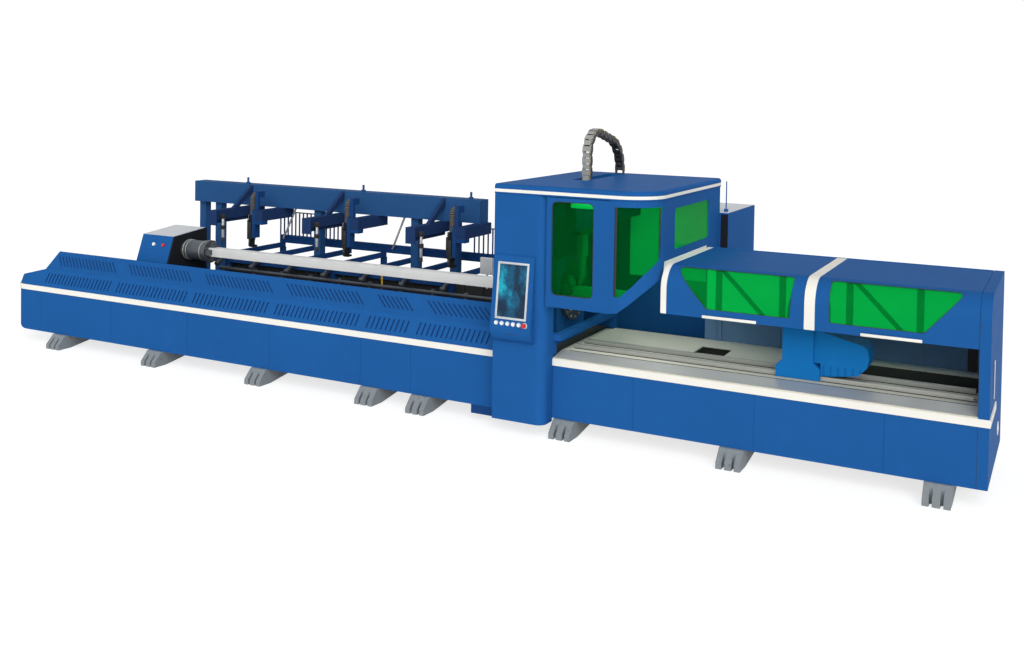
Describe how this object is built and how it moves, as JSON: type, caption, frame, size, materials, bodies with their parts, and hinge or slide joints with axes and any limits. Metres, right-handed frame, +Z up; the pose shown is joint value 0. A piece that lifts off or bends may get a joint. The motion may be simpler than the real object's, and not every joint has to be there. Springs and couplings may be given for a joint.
{
  "type": "fiber laser tube cutting machine",
  "caption": "Fiber laser tube cutting machine: slotted feed bed with chuck carriage, glazed cutting cabin with energy chain, hooded unloading bed and gantry bundle loader.",
  "frame": {"origin": "on the floor, in the middle of the machine's length and depth", "axes": "+X along the beds toward the unloading end, +Y from the operator's side to the loader, +Z up"},
  "size_m": [11.042, 3.0882, 2.7908],
  "materials": {
    "blue_paint": "semi-gloss powder coat",
    "deep_blue_paint": "semi-gloss powder coat",
    "white_strip": "satin",
    "white_button": "gloss",
    "red_button": "gloss",
    "grey_paint": "satin",
    "machined_grey": "milled",
    "chuck_steel": "turned",
    "bright_steel": "drawn",
    "black_paint": "satin",
    "chain_plastic": "moulded",
    "screen_glass": "glossy display",
    "green_glass": "clear tinted laser-safe pane",
    "table_steel": "rolled sheet"
  },
  "bodies": {
    "base": {"feed_frame": "deep_blue_paint", "feed_skirt": "blue_paint", "feed_nose": "blue_paint", "feed_guard": "blue_paint", "trim_strips": "white_strip", "feet": "grey_paint", "linear_rails": "bright_steel", "cabin_column": "blue_paint", "cabin_back": "blue_paint", "cabin_roof": "blue_paint", "cabin_side": "blue_paint", "cabin_windows": "green_glass", "hmi_housing": "blue_paint", "hmi_screen": "screen_glass", "energy_chain": "chain_plastic", "head_beam": "deep_blue_paint", "front_chuck_housing": "blue_paint", "cross_rail": "blue_paint", "unload_frame": "deep_blue_paint", "unload_skirt": "blue_paint", "unload_table": "table_steel", "rear_wall": "deep_blue_paint", "end_panel": "blue_paint", "electrical_cabinet": "blue_paint", "loader_frame": "blue_paint", "loader_arms": "blue_paint", "loader_rack": "deep_blue_paint"},
    "feed_carriage": {"carriage_base": "machined_grey", "carriage_cover": "blue_paint", "carriage_face": "black_paint"},
    "rear_chuck": {"rear_chuck": "chuck_steel", "sample_tube": "bright_steel"},
    "front_chuck": {"front_chuck_rotor": "chuck_steel"},
    "unload_carriage": {"unload_carriage": "blue_paint"},
    "unload_chuck": {"unload_rotor": "chuck_steel"},
    "cabin_door": {"cabin_door": "blue_paint", "door_window": "green_glass"},
    "hood_1": {"hood_1": "blue_paint", "hood_1_window": "green_glass"},
    "hood_2": {"hood_2": "blue_paint", "hood_2_window": "green_glass"},
    "carriage_button": {"carriage_button": "white_button"},
    "carriage_stop": {"carriage_stop": "red_button"},
    "support_lift_1": {"support_lift_1": "black_paint"},
    "support_lift_2": {"support_lift_2": "black_paint"},
    "support_lift_3": {"support_lift_3": "black_paint"},
    "emergency_stop": {"emergency_stop": "red_button"},
    "push_button_1": {"push_button_1": "white_button"},
    "push_button_2": {"push_button_2": "white_button"},
    "push_button_3": {"push_button_3": "white_button"},
    "push_button_4": {"push_button_4": "white_button"},
    "push_button_5": {"push_button_5": "white_button"},
    "head_carriage": {"head_carriage": "machined_grey"},
    "head_slide": {"head_slide": "bright_steel"},
    "loader_trolley_1": {"loader_trolley_1": "deep_blue_paint"},
    "loader_trolley_2": {"loader_trolley_2": "deep_blue_paint"},
    "loader_trolley_3": {"loader_trolley_3": "deep_blue_paint"},
    "gripper_1": {"gripper_1": "black_paint"},
    "gripper_2": {"gripper_2": "black_paint"},
    "gripper_3": {"gripper_3": "black_paint"}
  },
  "joints": [
    {"name": "feed", "type": "slide", "parent": "base", "child": "feed_carriage", "axis": [-1, 0, 0], "range_m": [-3, 1.05]},
    {"name": "front_chuck_spin", "type": "hinge", "parent": "base", "child": "front_chuck", "pos_m": [1.294, -0.54888, 1.205], "axis": [1, 0, 0], "continuous": true},
    {"name": "rear_chuck_spin", "type": "hinge", "parent": "feed_carriage", "child": "rear_chuck", "pos_m": [1.294, -0.54888, 1.205], "axis": [1, 0, 0], "continuous": true},
    {"name": "unload_travel", "type": "slide", "parent": "base", "child": "unload_carriage", "axis": [1, 0, 0], "range_m": [-0.9, 0.8]},
    {"name": "unload_chuck_spin", "type": "hinge", "parent": "unload_carriage", "child": "unload_chuck", "pos_m": [1.294, -0.54888, 1.205], "axis": [1, 0, 0], "continuous": true},
    {"name": "support_1", "type": "slide", "parent": "base", "child": "support_lift_1", "axis": [0, 0, 1], "range_m": [0, 0.42]},
    {"name": "support_2", "type": "slide", "parent": "base", "child": "support_lift_2", "axis": [0, 0, 1], "range_m": [0, 0.42]},
    {"name": "support_3", "type": "slide", "parent": "base", "child": "support_lift_3", "axis": [0, 0, 1], "range_m": [0, 0.42]},
    {"name": "head_y", "type": "slide", "parent": "base", "child": "head_carriage", "axis": [0, 1, 0], "range_m": [-0.1, 0.15]},
    {"name": "head_z", "type": "slide", "parent": "head_carriage", "child": "head_slide", "axis": [0, 0, 1], "range_m": [0, 0.15]},
    {"name": "door_hinge", "type": "hinge", "parent": "base", "child": "cabin_door", "pos_m": [2.4365, -1.43088, 1.215], "axis": [0, 0, 1], "range_deg": [0, 90]},
    {"name": "hood_1_hinge", "type": "hinge", "parent": "base", "child": "hood_1", "pos_m": [2.854, 0.11312, 1.646], "axis": [-1, 0, 0], "range_deg": [0, 70]},
    {"name": "hood_2_hinge", "type": "hinge", "parent": "base", "child": "hood_2", "pos_m": [4.095, 0.11312, 1.646], "axis": [-1, 0, 0], "range_deg": [0, 70]},
    {"name": "trolley_1", "type": "slide", "parent": "base", "child": "loader_trolley_1", "axis": [0, 1, 0], "range_m": [0, 0.2]},
    {"name": "trolley_2", "type": "slide", "parent": "base", "child": "loader_trolley_2", "axis": [0, 1, 0], "range_m": [0, 0.2]},
    {"name": "trolley_3", "type": "slide", "parent": "base", "child": "loader_trolley_3", "axis": [0, 1, 0], "range_m": [0, 0.2]},
    {"name": "grip_1", "type": "slide", "parent": "loader_trolley_1", "child": "gripper_1", "axis": [0, 0, 1], "range_m": [0, 0.1]},
    {"name": "grip_2", "type": "slide", "parent": "loader_trolley_2", "child": "gripper_2", "axis": [0, 0, 1], "range_m": [0, 0.1]},
    {"name": "grip_3", "type": "slide", "parent": "loader_trolley_3", "child": "gripper_3", "axis": [0, 0, 1], "range_m": [0, 0.1]},
    {"name": "stop_press", "type": "slide", "parent": "base", "child": "emergency_stop", "axis": [0, 0.9941, -0.1084], "range_m": [0, 0.008], "stiffness_N_per_m": 800, "springref_m": -0.002},
    {"name": "button_1_press", "type": "slide", "parent": "base", "child": "push_button_1", "axis": [0, 0.9941, -0.1084], "range_m": [0, 0.005], "stiffness_N_per_m": 800, "springref_m": -0.002},
    {"name": "button_2_press", "type": "slide", "parent": "base", "child": "push_button_2", "axis": [0, 0.9941, -0.1084], "range_m": [0, 0.005], "stiffness_N_per_m": 800, "springref_m": -0.002},
    {"name": "button_3_press", "type": "slide", "parent": "base", "child": "push_button_3", "axis": [0, 0.9941, -0.1084], "range_m": [0, 0.005], "stiffness_N_per_m": 800, "springref_m": -0.002},
    {"name": "button_4_press", "type": "slide", "parent": "base", "child": "push_button_4", "axis": [0, 0.9941, -0.1084], "range_m": [0, 0.005], "stiffness_N_per_m": 800, "springref_m": -0.002},
    {"name": "button_5_press", "type": "slide", "parent": "base", "child": "push_button_5", "axis": [0, 0.9941, -0.1084], "range_m": [0, 0.005], "stiffness_N_per_m": 800, "springref_m": -0.002},
    {"name": "carriage_button_press", "type": "slide", "parent": "feed_carriage", "child": "carriage_button", "axis": [0, 0.9432, -0.3323], "range_m": [0, 0.008], "stiffness_N_per_m": 800, "springref_m": -0.002},
    {"name": "carriage_stop_press", "type": "slide", "parent": "feed_carriage", "child": "carriage_stop", "axis": [0, 0.9432, -0.3323], "range_m": [0, 0.008], "stiffness_N_per_m": 800, "springref_m": -0.002}
  ],
  "couplings": [
    {"joint": "rear_chuck_spin", "follows": "front_chuck_spin", "ratio": 1},
    {"joint": "unload_chuck_spin", "follows": "front_chuck_spin", "ratio": 1},
    {"joint": "support_2", "follows": "support_1", "ratio": 1},
    {"joint": "support_3", "follows": "support_1", "ratio": 1},
    {"joint": "trolley_2", "follows": "trolley_1", "ratio": 1},
    {"joint": "trolley_3", "follows": "trolley_1", "ratio": 1},
    {"joint": "grip_2", "follows": "grip_1", "ratio": 1},
    {"joint": "grip_3", "follows": "grip_1", "ratio": 1}
  ]
}
